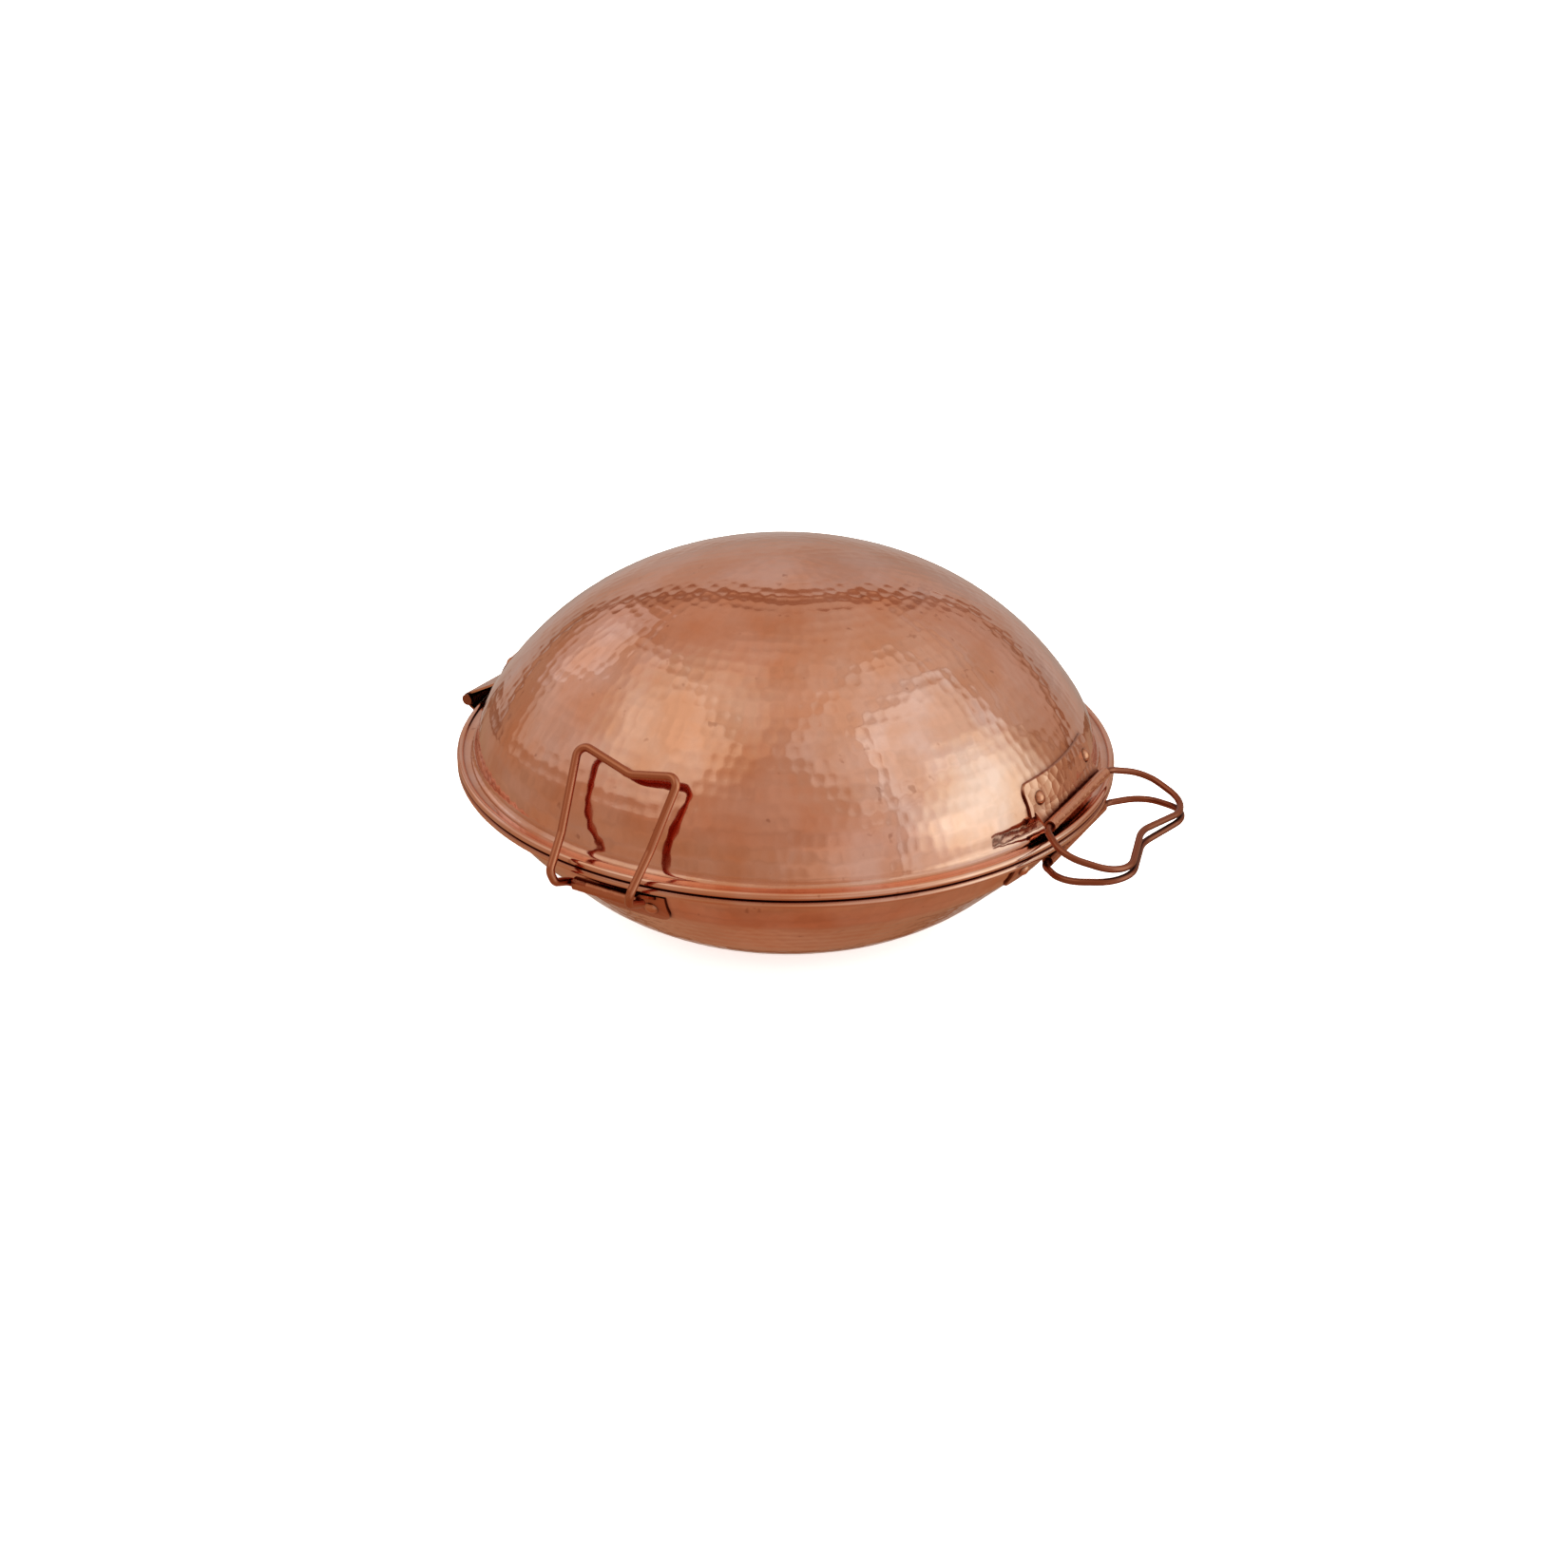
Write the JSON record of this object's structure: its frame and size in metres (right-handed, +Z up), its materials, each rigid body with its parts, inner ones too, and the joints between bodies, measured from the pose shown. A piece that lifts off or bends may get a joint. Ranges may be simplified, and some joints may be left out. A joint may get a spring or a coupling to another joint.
{
  "type": "cataplana",
  "caption": "Clam-shaped hammered copper cooking pan: two hinged domed shells that close at a rolled rim, with side latch bails and folding wire handles.",
  "frame": {"origin": "centre of the flat base, on the surface that it stands on", "axes": "+Z up through both shells, -Y towards the handles, +Y towards the hinge, the latches on -X and +X"},
  "size_m": [0.322, 0.3392, 0.1646],
  "materials": {
    "hammered_copper": "polished planished copper outside, tinned inside",
    "copper_sheet": "polished copper sheet",
    "copper_wire": "polished copper wire",
    "copper_rivet": "polished copper",
    "rim_wire": "bare steel wire inside the rolled rim"
  },
  "bodies": {
    "pan": {"lower_shell": "hammered_copper", "lower_rim_wire": "rim_wire", "hinge_leaf_lower": "copper_sheet", "hinge_pin": "copper_wire", "hinge_rivets_lower": "copper_rivet", "handle_bracket_lower": "copper_sheet", "handle_rivets_lower": "copper_rivet", "latch_bracket_left": "copper_sheet", "latch_rivets_left": "copper_rivet", "latch_bracket_right": "copper_sheet", "latch_rivets_right": "copper_rivet"},
    "lid": {"upper_shell": "hammered_copper", "upper_rim_wire": "rim_wire", "hinge_leaf_upper": "copper_sheet", "hinge_rivets_upper": "copper_rivet", "handle_bracket_upper": "copper_sheet", "handle_rivets_upper": "copper_rivet"},
    "latch_left": {"latch_bail_left": "copper_wire"},
    "latch_right": {"latch_bail_right": "copper_wire"},
    "handle_upper": {"handle_loop_upper": "copper_wire"},
    "handle_lower": {"handle_loop_lower": "copper_wire"}
  },
  "joints": [
    {"name": "lid_hinge", "type": "hinge", "parent": "pan", "child": "lid", "pos_m": [0, 0.1534, 0.0735], "axis": [-1, 0, 0], "range_deg": [0, 84]},
    {"name": "latch_left_swing", "type": "hinge", "parent": "pan", "child": "latch_left", "pos_m": [-0.1476, 0, 0.0642], "axis": [0, -1, 0], "range_deg": [0, 181]},
    {"name": "latch_right_swing", "type": "hinge", "parent": "pan", "child": "latch_right", "pos_m": [0.1476, 0, 0.0642], "axis": [0, 1, 0], "range_deg": [0, 181]},
    {"name": "upper_handle_swing", "type": "hinge", "parent": "lid", "child": "handle_upper", "pos_m": [0, -0.1444, 0.0813], "axis": [-1, 0, 0], "range_deg": [0, 100]},
    {"name": "lower_handle_swing", "type": "hinge", "parent": "pan", "child": "handle_lower", "pos_m": [0, -0.1444, 0.0647], "axis": [1, 0, 0], "range_deg": [0, 95]}
  ],
  "couplings": [
    {"joint": "latch_left_swing", "follows": "lid_hinge", "ratio": 2.15},
    {"joint": "latch_right_swing", "follows": "lid_hinge", "ratio": 2.15}
  ]
}
